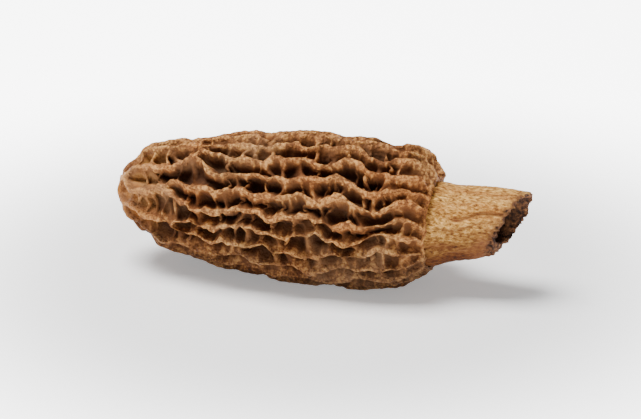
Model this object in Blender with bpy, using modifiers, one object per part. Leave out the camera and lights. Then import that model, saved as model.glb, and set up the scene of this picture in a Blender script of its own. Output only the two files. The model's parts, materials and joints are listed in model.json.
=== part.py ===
"""A dried morel lying on its side: a hollow cap with a raised net of ribs and pits, on a short hollow stem.

Metres, +Z up. The mushroom lies along X, with the cap's tip at -X and the slanting cut end of its stem at +X.
It rests on the floor at Z = 0. Both pieces are first made straight about the X axis, with the tip at X = 0,
and are then bent, pressed and laid down together by one function, lay_down.
"""

import math
import random

import bmesh
import bpy
import numpy as np
from mathutils import Matrix, Vector

SEED = 68
TURN = 2 * math.pi
MERGE = 0.00001

# The cap's outline over the crests of its ribs: distance from the tip, radius
CAP_OUTLINE = (
    (0.0000, 0.0000),
    (0.0009, 0.0033),
    (0.0036, 0.0064),
    (0.0085, 0.0089),
    (0.0160, 0.0107),
    (0.0250, 0.0121),
    (0.0335, 0.0126),
    (0.0420, 0.0122),
    (0.0480, 0.0115),
    (0.0515, 0.0104),
    (0.0532, 0.0090),
    (0.0537, 0.0078),
)
OUTLINE_STEPS = 24

# The net. Ribs run from the tip to the rim and fork twice on the way: 6, then 12, then 24 of them
TIP_RIBS = 6
FORKS = 2
RIBS = TIP_RIBS * 2**FORKS
TIP_PIT = 0.0016
FIRST_FORK = (0.0034, 0.0052)
SECOND_FORK = (0.0115, 0.0190)
FORK_SPREAD = 0.0045
RIB_JITTER = 0.12
# Sideways, all ribs share a drift: share of it, turns round the cap, range of wavelengths
RIB_DRIFT = 0.0011
DRIFTS = ((0.40, 2, (0.018, 0.026)), (0.35, 3, (0.011, 0.015)), (0.25, -4, (0.0075, 0.0095)))
# Each rib also wanders, rises and thickens by waves of its own: share, range of wavelengths
WAVES = ((0.60, (0.0090, 0.0140)), (0.40, (0.0058, 0.0080)))
RIB_WANDER = 0.00082
FULL_WANDER_RADIUS = 0.011
RIB_RISE = 0.00042
RIB_HALF_WIDTH = 0.00056
RIB_GIRTH = 0.22
CREST_CROWN = 0.00016
RIB_STEP = 0.0023

# Thin cross walls between neighbouring ribs, lower at their middle than the ribs, which they pull together
WALL_PULL = 0.00038
WALL_GAP = (0.0042, 0.0084)
WALL_SLANT = 0.0013
WALL_BOW = 0.0006
WALL_DIP = (0.0009, 0.0022)
WALL_HALF_WIDTH = 0.00033
WALL_STEPS = 3
WALL_SNAP = 0.0012
LEAST_SIDE = 0.0020

# Towards the rim the net grows finer, calmer and thinner, and its crests level out
RIM_CALM = 0.008
RIM_CALMED = 0.6
RIM_LEVEL = 0.006
RIM_FINE = 0.013
RIM_FINER = 0.72
RIM_THINNED = 0.45

# Pits between the ribs. Both they and the dips of the walls are shallower at the tip and at the rim
PIT_DEPTH = 0.0032
PIT_DEPTH_SPREAD = 0.16
PIT_SLOPE = 0.00052
TIP_DEPTH, TIP_REACH = 0.34, 0.018
RIM_DEPTH, RIM_REACH = 0.38, 0.011

# How far a pit's walls move in: the mitre at a corner, the share of the way to the middle, the room needed
SHARPEST_MITRE = 0.65
MOST_INWARD = 0.66
FULL_HALF_WIDTH = 0.0016

# The hollow inside the cap, and the neck that the stem grows through
CAP_WALL = 0.0015
HOLLOW_START = 0.0085
HOLLOW_NOSE = 0.003
HOLLOW_RADIUS = 0.0072
HOLLOW_STATIONS = (0.0090, 0.0110, 0.0150, 0.0210, 0.0290, 0.0370, 0.0440)
NECK_RADIUS = 0.0066
NECK_STATIONS = (0.0480, 0.0508, 0.0537, 0.0600)
NECK_GAP = 0.0003
HOLLOW_SIDES = 24

# The stem, from the end hidden in the neck to its slanting cut
STEM_TOP = 0.0488
STEM_SHOWS = 0.0535
STEM_END = 0.0705
STEM_RADIUS_TOP = NECK_RADIUS - NECK_GAP
STEM_RADIUS_END = 0.0037
STEM_TAPER = 1.6
STEM_SIDES = 48
STEM_RINGS = 16
BORE_RADIUS_TOP = 0.0047
BORE_RADIUS_END = 0.0032
BORE_PAST = 0.002
# The dried stem's lengthwise folds: angle round it, width in radians, share of the full depth
STEM_FOLDS = (
    (2.62, 0.19, 1.0),
    (3.20, 0.26, 0.6),
    (1.90, 0.30, 0.4),
    (0.20, 0.30, 0.8),
    (-0.80, 0.35, 0.9),
)
STEM_FOLD_DEPTH = 0.0009
STEM_FOLD_FADE = 0.004
# The fuller lower side of the stem: place along it, length, its middle's angle round it, width, height
BELLY_AT, BELLY_LENGTH, BELLY_ANGLE, BELLY_WIDTH, BELLY = 0.0615, 0.0042, -1.94, 0.75, 0.0007
CUT_CENTRE = (0.0668, 0.0, 0.0)
CUT_NORMAL = (0.87, -0.31, -0.35)
CUTTER_SIDE = 0.040

# The dried cap's lumps: share of its radius, turns round the cap, rate along it in radians a metre, phase
LUMPS = ((0.021, 2, 95.0, 0.6), (0.015, 3, -140.0, 2.0))
LUMPS_START, LUMPS_END, LUMPS_FADE = 0.020, 0.0460, 0.0060
# The waist over the cap's top: place along it, width, its middle's angle round the cap, share of the radius
WAIST_AT, WAIST_WIDTH, WAIST_ANGLE, WAIST = 0.0455, 0.0035, 1.87, 0.048
# The shoulder that hangs over the stem's upper side, in the same terms
SHOULDER_AT, SHOULDER_WIDTH, SHOULDER_ANGLE, SHOULDER = 0.0501, 0.0020, 1.30, 0.085
SHOULDER_THICKNESS = 0.0023

# How the dried mushroom is bent, pressed and laid down. The cap sags over its neck, so the neck and the stem
# sit below the cap's middle, and the stem rises again to its cut
SAG = 0.0006
NECK_DROP = 0.0015
DROP_FROM, DROP_OVER, DROP_THICKNESS = 0.0415, 0.0065, 0.0035
STEM_LIFT = 0.0028
LIFT_FROM, LIFT_OVER = 0.047, 0.024
PRESSED_AT = -0.0112
PRESSED_SHARE = 0.45
REST_PITCH = math.radians(0.6)
FLOOR_BITE = 0.0005

CAP_COLOUR = (0.262, 0.124, 0.052, 1.0)
STEM_COLOUR = (0.604, 0.409, 0.209, 1.0)
ROUGHNESS = 0.85
SHARP_EDGE = math.radians(50)


def smooth_step(value):
    value = min(1.0, max(0.0, value))
    return value * value * (3 - 2 * value)


def smooth_path(points, steps):
    """Points on a Catmull-Rom curve through the given ones, the first of which lies on the axis."""
    points = [np.array(point) for point in points]
    knots = [points[1] * (1, -1), *points, 2 * points[-1] - points[-2]]
    path = []
    for a, b, c, d in zip(knots, knots[1:], knots[2:], knots[3:]):
        for t in np.arange(steps) / steps:
            bend = (2 * a - 5 * b + 4 * c - d) * t**2 + (3 * b - a - 3 * c + d) * t**3
            path.append(b + ((c - a) * t + bend) / 2)
    path.append(points[-1])
    return np.array(path)


class Skin:
    """The smooth surface over the crests. A place on it is an angle and a distance along it from the tip."""

    def __init__(self, outline):
        self.path = smooth_path(outline, OUTLINE_STEPS)
        self.along = np.concatenate([[0.0], np.cumsum(np.linalg.norm(np.diff(self.path, axis=0), axis=1))])
        self.slope = np.gradient(self.path, self.along, axis=0)
        self.length = float(self.along[-1])

    def read(self, table, s):
        return float(np.interp(s, self.along, table[:, 0])), float(np.interp(s, self.along, table[:, 1]))

    def radius(self, s):
        return self.read(self.path, s)[1]

    def relief(self, s):
        """The share of its full depth that the net has at s."""
        from_tip = TIP_DEPTH + (1 - TIP_DEPTH) * smooth_step(s / TIP_REACH)
        from_rim = RIM_DEPTH + (1 - RIM_DEPTH) * smooth_step((self.length - s) / RIM_REACH)
        return from_tip * from_rim

    def point(self, angle, s, height):
        """The point at a height above the skin, measured square to it."""
        x, radius = self.read(self.path, s)
        dx, dr = self.read(self.slope, s)
        size = math.hypot(dx, dr)
        radius += height * dx / size
        return Vector((x - height * dr / size, radius * math.cos(angle), radius * math.sin(angle)))


class Wave:
    """A smooth random wander of size 1 along one rib, as the sum of a long and a short sine."""

    def __init__(self, draw):
        self.parts = [
            (share, TURN / draw.uniform(*lengths), draw.uniform(0, TURN)) for share, lengths in WAVES
        ]

    def at(self, s):
        return sum(share * math.sin(rate * s + phase) for share, rate, phase in self.parts)


class Drift:
    """A sideways drift of size 1 that neighbouring ribs share, so that they sway without crossing."""

    def __init__(self, draw):
        self.parts = [
            (share, turns, TURN / draw.uniform(*lengths), draw.uniform(0, TURN))
            for share, turns, lengths in DRIFTS
        ]

    def at(self, angle, s):
        return sum(
            share * math.sin(turns * angle + rate * s + phase) for share, turns, rate, phase in self.parts
        )


class Net:
    """The raised net: forking ribs from tip to rim, and cross walls that close the pits between them."""

    def __init__(self, skin, draw):
        self.skin = skin
        self.tip, self.rim = TIP_PIT, skin.length
        self.forks = [
            [draw.uniform(*FIRST_FORK) for _ in range(TIP_RIBS)],
            [draw.uniform(*SECOND_FORK) for _ in range(TIP_RIBS * 2)],
        ]
        self.angles = [[TURN * (k + draw.uniform(-RIB_JITTER, RIB_JITTER)) / RIBS for k in range(RIBS)]]
        while len(self.angles[0]) > TIP_RIBS:
            finer = self.angles[0]
            self.angles.insert(0, [(a + b) / 2 for a, b in zip(finer[::2], finer[1::2])])
        self.drift = Drift(draw)
        self.waves = [[(Wave(draw), Wave(draw), Wave(draw)) for _ in level] for level in self.angles]
        self.stops = {}
        self.pulls = {}
        self.places = []
        self.index = {}
        self.lay_walls(draw)
        self.gather_pits()

    def span(self, level, rib):
        """Where a rib starts and ends along the skin."""
        start = self.forks[level - 1][rib // 2] if level else self.tip
        end = self.forks[level][rib] if level < FORKS else self.rim
        return start, end

    def angle(self, level, rib, s):
        base = self.angles[level][rib]
        radius = self.skin.radius(s)
        size = min(1.0, radius / FULL_WANDER_RADIUS)
        size *= 1 - RIM_CALMED * smooth_step((s - self.rim + RIM_CALM) / RIM_LEVEL)
        sway = RIB_DRIFT * self.drift.at(base, s) + RIB_WANDER * self.waves[level][rib][0].at(s)
        own = base + size * sway / radius
        if not level:
            return own
        start = self.span(level, rib)[0]
        parent = self.angle(level - 1, rib // 2, start)
        return parent + (own - parent) * math.sqrt(smooth_step((s - start) / FORK_SPREAD))

    def piece(self, strand, s):
        """The rib that a strand, counted at the rim, belongs to at s."""
        for level in range(FORKS + 1):
            rib = strand % RIBS // 2 ** (FORKS - level)
            if s <= self.span(level, rib)[1]:
                return level, rib
        return FORKS, strand % RIBS

    def place(self, level, rib, s):
        """The number of the net's point on a rib at s, made when first asked for."""
        if level and s == self.span(level, rib)[0]:
            return self.place(level - 1, rib // 2, s)
        key = (level, rib, s)
        if key not in self.index:
            rise, girth = (self.waves[level][rib][n].at(s) for n in (1, 2))
            from_rim = min(1.0, (self.rim - s) / RIM_LEVEL)
            half = RIB_HALF_WIDTH * (1 + RIB_GIRTH * girth) * (1 - RIM_THINNED * (1 - from_rim))
            radius = self.skin.radius(s)
            pull = WALL_PULL * self.pulls.get(key, 0) * from_rim * min(1.0, radius / FULL_WANDER_RADIUS)
            angle = self.angle(level, rib, s) + pull / radius
            self.index[key] = len(self.places)
            self.places.append((angle, s, RIB_RISE * rise * from_rim, half))
        return self.index[key]

    def stop_near(self, strand, s):
        """Where a cross wall meets a strand: at s, or at a junction close to s."""
        piece = self.piece(strand, s)
        taken = self.stops.setdefault(piece, [])
        near = [t for t in (*taken, *self.span(*piece)) if abs(t - s) < WALL_SNAP]
        return piece, min(near, key=lambda t: abs(t - s)) if near else s

    def column_start(self, strand):
        """Where the ribs on the two sides of a column part from each other."""
        for level in range(FORKS, 0, -1):
            rib = strand // 2 ** (FORKS - level)
            if rib % 2 == 0:
                return self.forks[level - 1][rib // 2]
        return self.tip

    def lay_walls(self, draw):
        """Each column's cross walls, from its start to the rim: both ends, the bow and the dip."""
        self.columns = []
        for strand in range(RIBS):
            start = self.column_start(strand)
            walls = [(start, start, 0.0, 0.0)]
            s = start + draw.uniform(*WALL_GAP)
            while s < self.rim - LEAST_SIDE:
                slant = draw.uniform(-WALL_SLANT, WALL_SLANT)
                bow, dip = draw.uniform(-WALL_BOW, WALL_BOW), draw.uniform(*WALL_DIP)
                ends = self.stop_near(strand, s - slant), self.stop_near(strand + 1, s + slant)
                reach = [t for _, t in ends]
                clear = all(t - last > LEAST_SIDE for t, last in zip(reach, walls[-1]))
                if clear and max(reach) < self.rim - LEAST_SIDE:
                    for way, (piece, t) in zip((1, -1), ends):
                        self.pulls[(*piece, t)] = self.pulls.get((*piece, t), 0) + way
                        if t not in (*self.stops[piece], *self.span(*piece)):
                            self.stops[piece].append(t)
                    walls.append((*reach, bow, dip))
                finer = RIM_FINER if s > self.rim - RIM_FINE else 1.0
                s += finer * draw.uniform(*WALL_GAP)
            walls.append((self.rim, self.rim, 0.0, 0.0))
            self.columns.append(walls)

    def strand_places(self, strand, low, high):
        """The net's points along a strand from low to high, with steps between the junctions."""
        row = []
        for level in range(FORKS + 1):
            rib = strand % RIBS // 2 ** (FORKS - level)
            start, end = self.span(level, rib)
            stops = sorted({start, end, *self.stops.get((level, rib), [])})
            for a, b in zip(stops, stops[1:]):
                steps = max(1, round((b - a) / RIB_STEP))
                row += [(level, rib, a + (b - a) * n / steps if n else a) for n in range(steps)]
            row.append((level, rib, end))
        numbers = [self.place(*spot) for spot in row if low <= spot[2] <= high]
        return list(dict.fromkeys(numbers))

    def wall_places(self, strand, wall):
        """The net's points across one wall, from the strand on its left to the one on its right."""
        left_s, right_s, bow, dip = wall
        left = self.place(*self.piece(strand, left_s), left_s)
        right = self.place(*self.piece(strand + 1, right_s), right_s)
        if left == right:
            return [left]
        key = (strand, left_s, right_s)
        if key not in self.index:
            a, _, rise_a, _ = self.places[left]
            b, _, rise_b, _ = self.places[right]
            turn = (b - a) % TURN
            from_rim = min(1.0, (self.rim - left_s) / RIM_LEVEL)
            half = WALL_HALF_WIDTH * (1 - RIM_THINNED * (1 - from_rim))
            self.index[key] = list(range(len(self.places), len(self.places) + WALL_STEPS - 1))
            for n in range(1, WALL_STEPS):
                t = n / WALL_STEPS
                arch = math.sin(math.pi * t)
                s = left_s + (right_s - left_s) * t + bow * arch
                rise = rise_a + (rise_b - rise_a) * t - dip * math.sqrt(arch) * self.skin.relief(s)
                self.places.append((a + turn * t, s, rise, half))
        return [left, *self.index[key], right]

    def gather_pits(self):
        """Each pit's edge as a loop of the net's points, anticlockwise from outside, and the rim's loop."""
        self.pits, self.tip_pit, self.rim_loop = [], [], []
        for strand, walls in enumerate(self.columns):
            rows = [self.wall_places(strand, wall) for wall in walls]
            for (low, high), lower, upper in zip(zip(walls, walls[1:]), rows, rows[1:]):
                left = self.strand_places(strand, low[0], high[0])
                right = self.strand_places(strand + 1, low[1], high[1])
                self.pits.append(lower + right[1:] + upper[::-1][1:] + left[::-1][1:-1])
            if walls[0][0] == self.tip:
                self.tip_pit += rows[0][:-1]
            self.rim_loop += rows[-1][:-1]
        self.tip_pit.reverse()


class Chart:
    """Flattens the skin round one pit to a plane in metres, and back. Round the tip it is polar."""

    def __init__(self, skin, places, polar):
        self.skin, self.polar = skin, polar
        self.angle, self.s = places[0][0], sum(place[1] for place in places) / len(places)

    def flat(self, angle, s):
        if self.polar:
            return np.array((s * math.sin(angle), s * math.cos(angle)))
        turn = (angle - self.angle + math.pi) % TURN - math.pi
        return np.array((turn * self.skin.radius(s), s - self.s))

    def back(self, point):
        if self.polar:
            return math.atan2(point[0], point[1]), math.hypot(*point)
        s = self.s + point[1]
        return self.angle + point[0] / self.skin.radius(s), s


def across(loop, axis, value):
    """The lowest and highest place of a flat loop along the line where one of its two axes has a value."""
    found = []
    for a, b in zip(loop, np.roll(loop, -1, axis=0)):
        if (a[axis] - value) * (b[axis] - value) <= 0 and a[axis] != b[axis]:
            share = (value - a[axis]) / (b[axis] - a[axis])
            found.append(a[1 - axis] + share * (b[1 - axis] - a[1 - axis]))
    return min(found), max(found)


def pit_rows(skin, places, depth, rings, polar=False):
    """Rows of points from a pit's edge down its walls, each moved towards the pit's middle line.

    Each ring gives the distance from the rib's side, and whether it lies on the crest (0) or the floor (1).
    """
    chart = Chart(skin, places, polar)
    edge = np.array([chart.flat(angle, s) for angle, s, _, _ in places])
    centre = edge.mean(axis=0)
    left, right = across(edge, 1, centre[1])
    half_wide = (right - left) / 2
    low, high = across(edge, 0, (left + right) / 2)
    low, high = low + half_wide, high - half_wide
    if low > high:
        low = high = (low + high) / 2
    feet = np.array([(sum(across(edge, 1, s)) / 2, s) for s in np.clip(edge[:, 1], low, high)])
    inward = feet - edge
    reach = np.linalg.norm(inward, axis=1)
    ahead = np.roll(edge, -1, axis=0) - np.roll(edge, 1, axis=0)
    normal = np.stack([-ahead[:, 1], ahead[:, 0]], axis=1)
    facing = (normal * inward).sum(axis=1) / (np.linalg.norm(normal, axis=1) * reach)
    mitre = 1 / np.clip(facing, SHARPEST_MITRE, 1.0)
    fit = min(1.0, half_wide / FULL_HALF_WIDTH)
    rows = []
    for beyond, deep in rings:
        row = []
        for n, (_, _, rise, half) in enumerate(places):
            move = min((half + beyond) * fit * mitre[n], MOST_INWARD * reach[n])
            angle, s = chart.back(edge[n] + inward[n] * move / reach[n])
            row.append(skin.point(angle, s, (rise - CREST_CROWN) * (1 - deep) - depth * deep))
        rows.append(row)
    return rows


def bulge(angle, x, middle_angle, middle_x, width):
    """A smooth bulge of size 1 on one side of the cap."""
    return math.exp(-(((x - middle_x) / width) ** 2)) * max(0.0, math.cos(angle - middle_angle)) ** 2


def swelling(angle, x, radius):
    """The share of its radius by which the dried cap swells or shrinks. The neck keeps its own size."""
    swell = sum(share * math.sin(turns * angle + rate * x + phase) for share, turns, rate, phase in LUMPS)
    swell *= smooth_step(x / LUMPS_START)
    swell -= WAIST * bulge(angle, x, WAIST_ANGLE, WAIST_AT, WAIST_WIDTH)
    swell *= 1 - smooth_step((x - LUMPS_END) / LUMPS_FADE)
    shoulder = SHOULDER * bulge(angle, x, SHOULDER_ANGLE, SHOULDER_AT, SHOULDER_WIDTH)
    return swell + shoulder * smooth_step((radius - NECK_RADIUS) / SHOULDER_THICKNESS)


def lay_down(point):
    """Bends, presses and tips a point of the straight mushroom to where it lies on the floor."""
    x, y, z = point
    radius = math.hypot(y, z)
    size = 1 + swelling(math.atan2(z, y), x, radius)
    y, z = y * size, z * size
    if z < PRESSED_AT:
        z = PRESSED_AT + (z - PRESSED_AT) * PRESSED_SHARE
    in_neck = 1 - smooth_step((radius - NECK_RADIUS) / DROP_THICKNESS)
    z -= NECK_DROP * in_neck * smooth_step((x - DROP_FROM) / DROP_OVER)
    z += STEM_LIFT * smooth_step((x - LIFT_FROM) / LIFT_OVER) - SAG * math.sin(math.pi * x / STEM_SHOWS)
    return Matrix.Rotation(REST_PITCH, 3, "Y") @ Vector((x, y, z))


def new_object(name, mesh, collection):
    made = bpy.data.objects.new(name, mesh)
    collection.objects.link(made)
    return made


def settle(made):
    """Applies the object's modifiers, so that its mesh is plain."""
    graph = bpy.context.evaluated_depsgraph_get()
    mesh = bpy.data.meshes.new_from_object(made.evaluated_get(graph))
    made.modifiers.clear()
    made.data = mesh


def turned(name, outline, sides, collection):
    """A solid turned about X by a Screw modifier, from a profile that starts and ends on the axis."""
    mesh = bpy.data.meshes.new(name)
    edges = [(n, n + 1) for n in range(len(outline) - 1)]
    mesh.from_pydata([(x, 0.0, radius) for x, radius in outline], edges, [])
    made = new_object(name, mesh, collection)
    screw = made.modifiers.new("turn", "SCREW")
    screw.axis = "X"
    screw.angle = TURN
    screw.steps = screw.render_steps = sides
    screw.use_merge_vertices = True
    screw.merge_threshold = MERGE
    screw.use_normal_flip = True
    settle(made)
    return made


def cut_away(body, cutter):
    cutter.hide_render = True
    cutter.display_type = "WIRE"
    cut = body.modifiers.new(cutter.name, "BOOLEAN")
    cut.operation = "DIFFERENCE"
    cut.solver = "EXACT"
    cut.object = cutter


def lay_down_mesh(made):
    for vertex in made.data.vertices:
        vertex.co = lay_down(vertex.co)


def dress(made, colour):
    """One plain material in the piece's colour, and smooth shading."""
    material = bpy.data.materials.new(made.name)
    material.use_nodes = True
    material.diffuse_color = colour
    shader = material.node_tree.nodes["Principled BSDF"]
    shader.inputs["Base Color"].default_value = colour
    shader.inputs["Roughness"].default_value = ROUGHNESS
    made.data.materials.clear()
    made.data.materials.append(material)
    made.data.shade_smooth()
    made.data.set_sharp_from_angle(angle=SHARP_EDGE)


def net_mesh(skin, draw):
    """The cap's closed outer body: the net's crests, each pit's walls and floor, and a flat rim."""
    net = Net(skin, draw)
    vertices = [skin.point(angle, s, rise) for angle, s, rise, _ in net.places]
    faces = [net.rim_loop]
    for loop in (net.tip_pit, *net.pits):
        places = [net.places[n] for n in loop]
        middle = sum(place[1] for place in places) / len(places)
        spread = draw.uniform(-PIT_DEPTH_SPREAD, PIT_DEPTH_SPREAD)
        depth = PIT_DEPTH * skin.relief(middle) * (1 + spread)
        outer = loop
        for row in pit_rows(skin, places, depth, ((0.0, 0.0), (PIT_SLOPE, 1.0)), loop is net.tip_pit):
            inner = range(len(vertices), len(vertices) + len(row))
            vertices += row
            sides = zip(outer, [*outer[1:], outer[0]], [*inner[1:], inner[0]], inner)
            faces += sides
            outer = list(inner)
        faces.append(outer)
    mesh = bpy.data.meshes.new("cap")
    mesh.from_pydata(vertices, [], faces)
    return mesh


def hollow_outline(skin):
    """The inside of the cap, a wall's thickness below the deepest pits, then the neck out past the rim."""
    deepest = PIT_DEPTH * (1 + PIT_DEPTH_SPREAD) + CAP_WALL
    outline = [(HOLLOW_START, 0.0)]
    for x in HOLLOW_STATIONS:
        radius = float(np.interp(x, skin.path[:, 0], skin.path[:, 1])) - deepest
        rounding = math.sqrt(smooth_step((x - HOLLOW_START) / HOLLOW_NOSE))
        outline.append((x, min(HOLLOW_RADIUS, radius * rounding)))
    return [*outline, *((x, NECK_RADIUS) for x in NECK_STATIONS), (NECK_STATIONS[-1], 0.0)]


def make_cap(collection, cutters):
    skin = Skin(CAP_OUTLINE)
    cap = new_object("cap", net_mesh(skin, random.Random(SEED)), collection)
    hollow = turned("hollow", hollow_outline(skin), HOLLOW_SIDES, cutters)
    for made in (cap, hollow):
        lay_down_mesh(made)
    cut_away(cap, hollow)
    settle(cap)
    dress(cap, CAP_COLOUR)
    return cap


def stem_radius(x):
    """The stem narrows from the neck to its cut, slowly at first."""
    share = max(0.0, (x - STEM_SHOWS) / (STEM_END - STEM_SHOWS)) ** STEM_TAPER
    return STEM_RADIUS_TOP + (STEM_RADIUS_END - STEM_RADIUS_TOP) * share


def hump(angle, middle, width):
    """A smooth hump of size 1 at one angle round the stem."""
    away = (angle - middle + math.pi) % TURN - math.pi
    return math.exp(-((away / width) ** 2))


def drawn_in(angle, x):
    """How far the stem's surface is drawn in by its folds, less its belly, at an angle round it."""
    folds = sum(share * hump(angle, middle, width) for middle, width, share in STEM_FOLDS)
    depth = STEM_FOLD_DEPTH * stem_radius(x) / STEM_RADIUS_TOP
    depth *= smooth_step((x - STEM_SHOWS) / STEM_FOLD_FADE)
    belly = BELLY * math.exp(-(((x - BELLY_AT) / BELLY_LENGTH) ** 2))
    return depth * folds - belly * hump(angle, BELLY_ANGLE, BELLY_WIDTH)


def cut_block(collection):
    """A block whose near face is the slanting cut across the stem."""
    made = bmesh.new()
    bmesh.ops.create_cube(made, size=CUTTER_SIDE)
    mesh = bpy.data.meshes.new("cut")
    made.to_mesh(mesh)
    made.free()
    normal = Vector(CUT_NORMAL).normalized()
    block = new_object("cut", mesh, collection)
    block.location = Vector(CUT_CENTRE) + normal * CUTTER_SIDE / 2
    block.rotation_mode = "QUATERNION"
    block.rotation_quaternion = Vector((1, 0, 0)).rotation_difference(normal)
    return block


def make_stem(collection, cutters):
    stations = np.linspace(STEM_TOP, STEM_END, STEM_RINGS + 1)
    outline = [(STEM_TOP, 0.0), *((x, stem_radius(x)) for x in stations), (STEM_END, 0.0)]
    stem = turned("stem", outline, STEM_SIDES, collection)
    for vertex in stem.data.vertices:
        x, y, z = vertex.co
        radius = math.hypot(y, z)
        if radius > MERGE:
            kept = 1 - drawn_in(math.atan2(z, y), x) / radius
            vertex.co = (x, y * kept, z * kept)
    bore_outline = (
        (STEM_TOP - BORE_PAST, 0.0),
        (STEM_TOP - BORE_PAST, BORE_RADIUS_TOP),
        (STEM_END + BORE_PAST, BORE_RADIUS_END),
        (STEM_END + BORE_PAST, 0.0),
    )
    cut_away(stem, cut_block(cutters))
    cut_away(stem, turned("bore", bore_outline, HOLLOW_SIDES, cutters))
    stem.modifiers.new("weld", "WELD").merge_threshold = MERGE
    bpy.context.view_layer.update()
    settle(stem)
    lay_down_mesh(stem)
    dress(stem, STEM_COLOUR)
    return stem


def set_down(pieces):
    """Moves the pieces to the middle of the floor, where what lies lowest is pressed flat."""
    points = np.array([vertex.co for made in pieces for vertex in made.data.vertices])
    low, high = points.min(axis=0), points.max(axis=0)
    middle_x, middle_y = (low + high)[:2] / 2
    floor = low[2] + FLOOR_BITE
    for made in pieces:
        for vertex in made.data.vertices:
            x, y, z = vertex.co
            vertex.co = (x - middle_x, y - middle_y, max(0.0, z - floor))


def main():
    for old in list(bpy.data.objects):
        bpy.data.objects.remove(old)
    morel = bpy.data.collections.new("morel")
    cutters = bpy.data.collections.new("cutters")
    for group in (morel, cutters):
        bpy.context.scene.collection.children.link(group)
    set_down([make_cap(morel, cutters), make_stem(morel, cutters)])


main()
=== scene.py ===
"""A dried morel lying on its side on a white studio table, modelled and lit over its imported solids."""

import json
import math
import random

import bmesh
import bpy
import numpy as np
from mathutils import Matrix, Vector, noise
from mathutils.bvhtree import BVHTree

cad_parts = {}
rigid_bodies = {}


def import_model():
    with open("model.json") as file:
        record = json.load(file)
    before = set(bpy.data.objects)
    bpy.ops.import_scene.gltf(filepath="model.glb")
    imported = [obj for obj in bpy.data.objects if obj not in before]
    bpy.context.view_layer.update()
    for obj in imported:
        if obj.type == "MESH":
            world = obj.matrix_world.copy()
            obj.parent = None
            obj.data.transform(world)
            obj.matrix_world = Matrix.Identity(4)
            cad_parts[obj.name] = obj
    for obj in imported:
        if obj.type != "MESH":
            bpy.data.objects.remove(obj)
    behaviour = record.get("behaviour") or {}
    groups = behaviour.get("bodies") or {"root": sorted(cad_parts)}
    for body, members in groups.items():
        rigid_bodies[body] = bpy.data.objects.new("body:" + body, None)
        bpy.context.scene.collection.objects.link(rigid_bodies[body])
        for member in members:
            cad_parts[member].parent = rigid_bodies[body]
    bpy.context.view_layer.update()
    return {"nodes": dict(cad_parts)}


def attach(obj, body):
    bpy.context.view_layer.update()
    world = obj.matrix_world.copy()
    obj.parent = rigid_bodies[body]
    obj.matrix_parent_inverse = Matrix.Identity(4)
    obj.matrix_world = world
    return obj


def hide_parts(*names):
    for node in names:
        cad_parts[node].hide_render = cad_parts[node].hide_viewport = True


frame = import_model()

# The cap. Its thin, leathery flesh grew as one hollow body with a raised net of ribs and cross walls, which
# shrank and hardened as the mushroom dried. The crests are pale and beaded, the walls of the pits are fluted
# from top to bottom, and the floors of the pits are dark, partly their own brown and partly painted shade.
MERGE = 0.00001  # metres, as all sizes here: points closer than this are one
CAP_LEVELS = 1
SEED_STEPS = (7.1, 3.3, 5.7)  # how far apart the noise of one seed lies from that of the next
FOLD_MEAN = 0.2  # mean of noise that is folded at 0

CORE_START, CORE_END = -0.0250, 0.0150  # ends of the hollow's axis
AXIS_DROP = 0.0003  # how far the axis lies below the cap's middle
HOLLOW_RADIUS = 0.0078  # the hollow's wall lies within this of the axis
OUTSIDE_FADE, TIP_FADE = 0.0006, 0.001

RIB_EDGE, RIB_RISE = 0.00062, 0.7  # edges longer and less steep than this are cut
RIB_CUTS = 3

SCAN_FROM, SCAN_TO, SCAN_STEP = -0.0295, 0.0165, 0.0007
SCAN_TURNS, SCAN_REACH = 400, 0.03  # rays round the axis, and how far out they start
CREST_TURNS, CREST_ROWS = 12, 3  # how far from a place of the scan its crests are looked for

WEB_SEED = 7
WEB_DEPTHS = ((-0.0230, 0.0006), (-0.0170, 0.0012))  # place along the cap, least depth of a pit with webs
WEB_SPAN, WEB_GAP = (0.0012, 0.0065), (0.0012, 0.0034)
WEB_COLUMNS = 8
WEB_LOOK = 4  # turns either way in which the crest of the rib at its end is looked for
WEB_LOW, WEB_SAG = (0.45, 1.0), 2.4  # height of its middle as a share of the ribs', and how late it rises
WEB_BELOW, WEB_LEAST = 0.00025, 0.0002  # its ends below the crests, its least height over the floor
WEB_ROOT, WEB_INTO = 0.0003, 0.0005  # how far it runs into the floor and into the walls
WEB_ENDS = (0.0004, -0.0003)  # its most height over the wall's face, at the wall and inside it
WEB_WIDTH, WEB_SIZES, WEB_FLARE = 0.00050, (0.8, 1.3), 0.7
WEB_SLANT, WEB_BOW = 0.35, 0.0006
WEB_PROFILE = ((-1.0, 0.0), (-0.75, 0.55), (-0.55, 0.88), (0.0, 1.0), (0.55, 0.88), (0.75, 0.55), (1.0, 0.0))

PULL, PULL_RUN, PULL_WIDE, PULL_REACH = 0.00045, 0.0009, 0.0013, 0.0036
KINK_SIZE, KINK, KINK_SLIDE = 0.0035, 0.0013, 0.00065
WAVE_LONG, WAVE_WIDE, WAVE = 0.0080, 0.0048, 0.0009
TIP_TWIST_SIZE, TIP_TWIST = 0.0034, 0.0010
TIP_PALE = 0.012

HULL_EVERY = 3  # the hull is laid round every third point
CREST_CELL, CREST_REACH, CREST_BLURS = 0.0015, 2, 2
WALL_TOP = 0.0009  # depth at which a crest has turned into a wall
DEEP = 0.0030

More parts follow.
